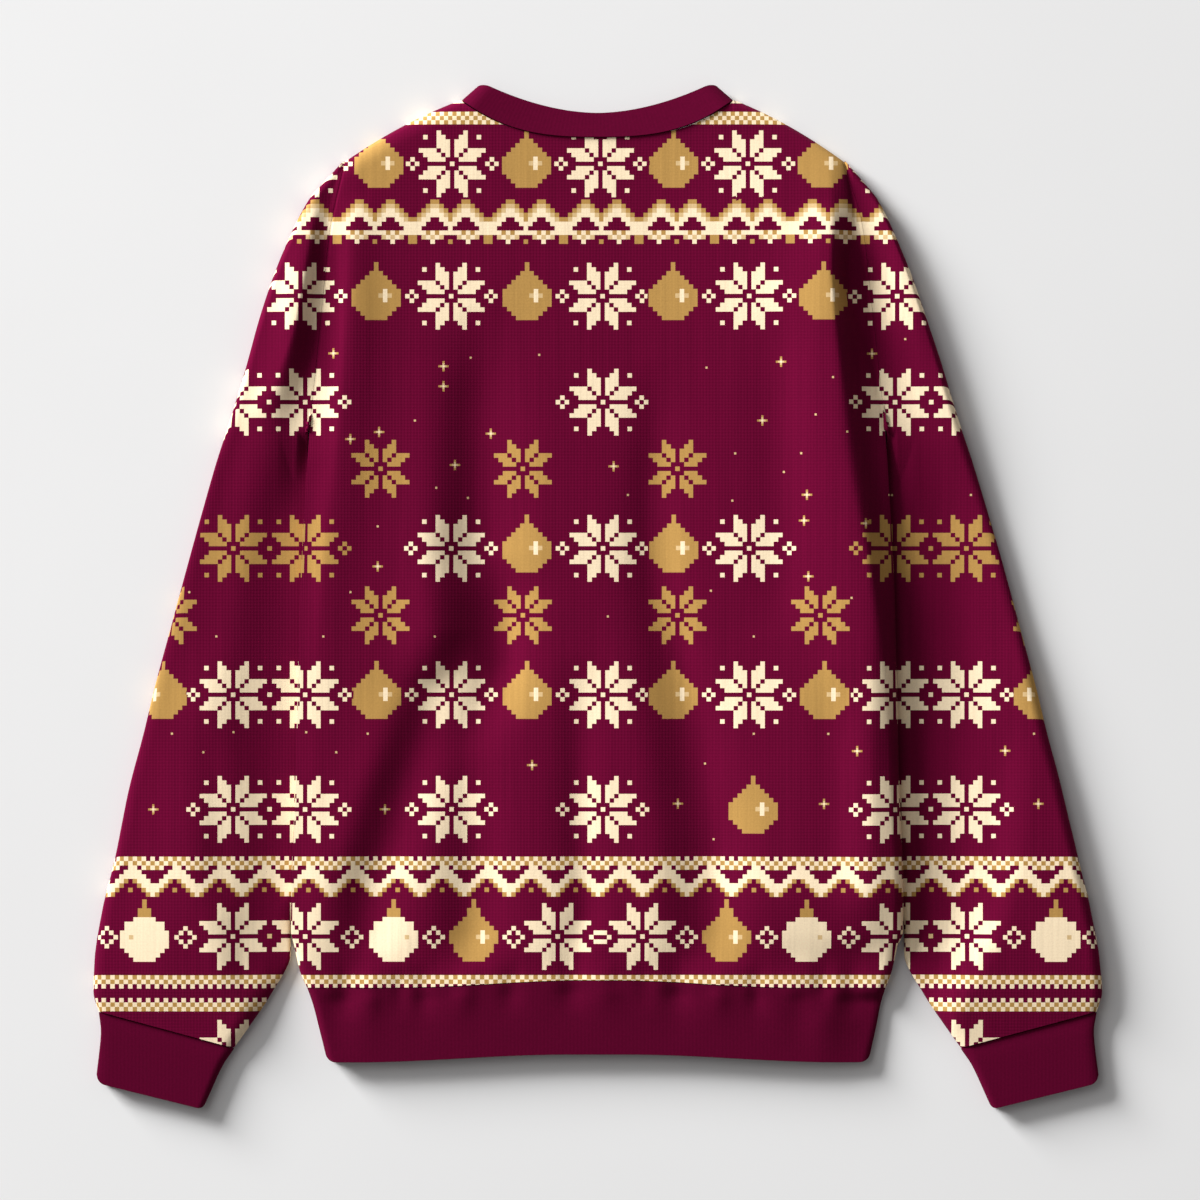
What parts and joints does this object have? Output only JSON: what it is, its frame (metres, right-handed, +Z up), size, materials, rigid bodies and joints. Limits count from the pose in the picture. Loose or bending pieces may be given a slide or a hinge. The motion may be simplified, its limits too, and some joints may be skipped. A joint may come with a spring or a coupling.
{
  "type": "christmas sweatshirt",
  "caption": "Crew-neck sweatshirt with a festive all-over pattern, laid flat on its front with its sleeves tucked under its sides.",
  "frame": {"origin": "centre of the laid garment's outline, on the surface that it lies on", "axes": "+Z up through the garment's back, +Y from the hem towards the neck, +X towards the wearer's right sleeve"},
  "size_m": [0.7062, 0.716, 0.0196],
  "materials": {
    "printed_fleece": "brushed polyester fleece, burgundy, printed all over with a cream and gold pattern",
    "rib_knit": "fine doubled rib knit, plain burgundy"
  },
  "bodies": {
    "root": {"back_body": "printed_fleece", "front_body": "printed_fleece", "sleeve_left": "printed_fleece", "sleeve_right": "printed_fleece", "cuff_left": "rib_knit", "cuff_right": "rib_knit", "waistband": "rib_knit", "neck_rib": "rib_knit"}
  },
  "joints": []
}
